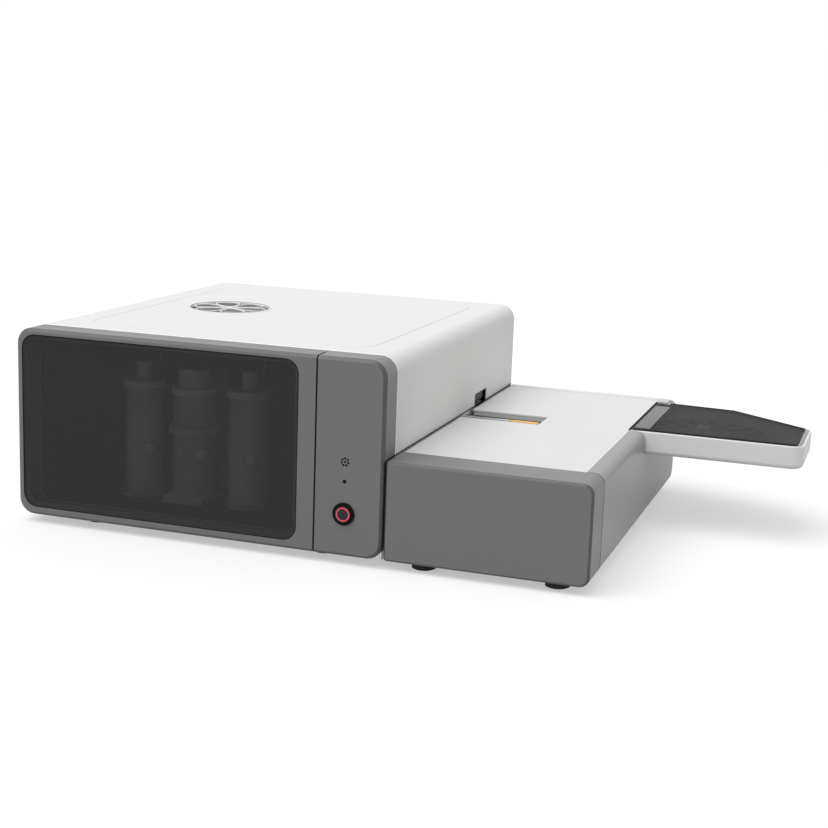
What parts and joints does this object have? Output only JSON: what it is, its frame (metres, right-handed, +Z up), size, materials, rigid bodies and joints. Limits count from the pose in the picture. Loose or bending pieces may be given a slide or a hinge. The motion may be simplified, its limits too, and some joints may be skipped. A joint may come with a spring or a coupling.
{
  "type": "sulfur analyzer",
  "caption": "Bench furnace analyzer: low wide cabinet with tinted front door and top fan, beside a flat sampler box whose tray arm holds a lidded carousel.",
  "frame": {"origin": "middle of the whole footprint, on the bench under the feet", "axes": "+X to the sampler's side (right when facing the door), +Y from the front to the back, +Z up"},
  "size_m": [0.89, 0.534, 0.2365],
  "materials": {
    "cover_white": "satin powder coat",
    "plate_white": "satin powder coat",
    "bezel_grey": "fine matt texture",
    "cover_grey": "satin powder coat",
    "window_tint": "dark tinted, polished",
    "lid_tint": "dark tinted acrylic, polished",
    "tray_white": "satin moulded",
    "vessel_glass": "clear borosilicate",
    "sheet_steel": "zinc plated",
    "bright_steel": "machined",
    "alloy": "bead blasted",
    "brass": "machined",
    "ceramic": "unglazed ceramic",
    "black_plastic": "matt",
    "motor_black": "satin",
    "furnace_case": "refractory board in a thin painted case",
    "board_green": "solder mask",
    "lamp_red": "lit light guide",
    "rubber": "matt"
  },
  "bodies": {
    "chassis": {"main_cover": "cover_white", "fan_grille": "cover_white", "sampler_top_plate": "plate_white", "front_rim": "bezel_grey", "control_strip": "bezel_grey", "sampler_bezel": "bezel_grey", "sampler_cover": "cover_grey", "rear_panel": "cover_grey", "tray_tub": "tray_white", "lid_hinge_lug": "tray_white", "tube_cap_left": "tray_white", "tube_cap_right": "tray_white", "cell_cap": "tray_white", "drying_tube_left": "vessel_glass", "drying_tube_right": "vessel_glass", "electrolysis_cell": "vessel_glass", "base_pan": "sheet_steel", "sampler_base": "sheet_steel", "power_supply": "sheet_steel", "gas_ports": "bright_steel", "door_hinge_upper": "bright_steel", "door_hinge_lower": "bright_steel", "tube_collar": "bright_steel", "guide_rail": "bright_steel", "cell_stand": "alloy", "slot_trough": "alloy", "combustion_tube": "ceramic", "power_inlet": "black_plastic", "compartment_liner": "black_plastic", "door_magnet": "black_plastic", "air_pump": "black_plastic", "fan_frame": "black_plastic", "button_housing": "black_plastic", "status_lamp": "black_plastic", "feed_motor": "motor_black", "turn_motor": "motor_black", "furnace_body": "furnace_case", "control_board": "board_green", "drive_belt": "rubber", "main_foot_front_left": "rubber", "main_foot_front_right": "rubber", "main_foot_back_left": "rubber", "main_foot_back_right": "rubber", "sampler_foot_front_left": "rubber", "sampler_foot_front_right": "rubber", "sampler_foot_back_left": "rubber", "sampler_foot_back_right": "rubber"},
    "door": {"door_frame": "bezel_grey", "door_window": "window_tint"},
    "button": {"power_button": "black_plastic", "button_light_ring": "lamp_red"},
    "fan": {"fan_rotor": "black_plastic"},
    "carriage": {"boat_carriage": "brass", "pusher_arm": "alloy", "push_rod": "ceramic"},
    "screw": {"lead_screw": "bright_steel"},
    "lid": {"tray_lid": "lid_tint"},
    "carousel": {"carousel_disc": "alloy", "carousel_knob": "tray_white"},
    "pulley": {"motor_pulley": "bright_steel"}
  },
  "joints": [
    {"name": "door_swing", "type": "hinge", "parent": "chassis", "child": "door", "pos_m": [-0.438, -0.25345, 0.123], "axis": [0, 0, -1], "range_deg": [0, 90]},
    {"name": "button_press", "type": "slide", "parent": "chassis", "child": "button", "axis": [0, 1, 0], "range_m": [0, 0.0015], "stiffness_N_per_m": 600, "springref_m": -0.0005},
    {"name": "fan_spin", "type": "hinge", "parent": "chassis", "child": "fan", "pos_m": [-0.3057, 0.02675, 0.22], "axis": [0, 0, 1], "continuous": true},
    {"name": "carriage_feed", "type": "slide", "parent": "chassis", "child": "carriage", "axis": [1, 0, 0], "range_m": [-0.052, 0.032]},
    {"name": "screw_turn", "type": "hinge", "parent": "chassis", "child": "screw", "pos_m": [0.104, 0.01655, 0.103], "axis": [1, 0, 0], "range_deg": [-1900, 1180]},
    {"name": "lid_swing", "type": "hinge", "parent": "chassis", "child": "lid", "pos_m": [0.2399, 0.21655, 0.1219], "axis": [0, -1, 0], "range_deg": [0, 100]},
    {"name": "carousel_turn", "type": "hinge", "parent": "chassis", "child": "carousel", "pos_m": [0.3125, 0.12505, 0.108], "axis": [0, 0, 1], "continuous": true},
    {"name": "pulley_turn", "type": "hinge", "parent": "chassis", "child": "pulley", "pos_m": [0.192, 0.12505, 0.101], "axis": [0, 0, 1], "continuous": true}
  ],
  "couplings": [
    {"joint": "screw_turn", "follows": "carriage_feed", "rad_per_m": 628.32},
    {"joint": "pulley_turn", "follows": "carousel_turn", "ratio": 1.5}
  ]
}
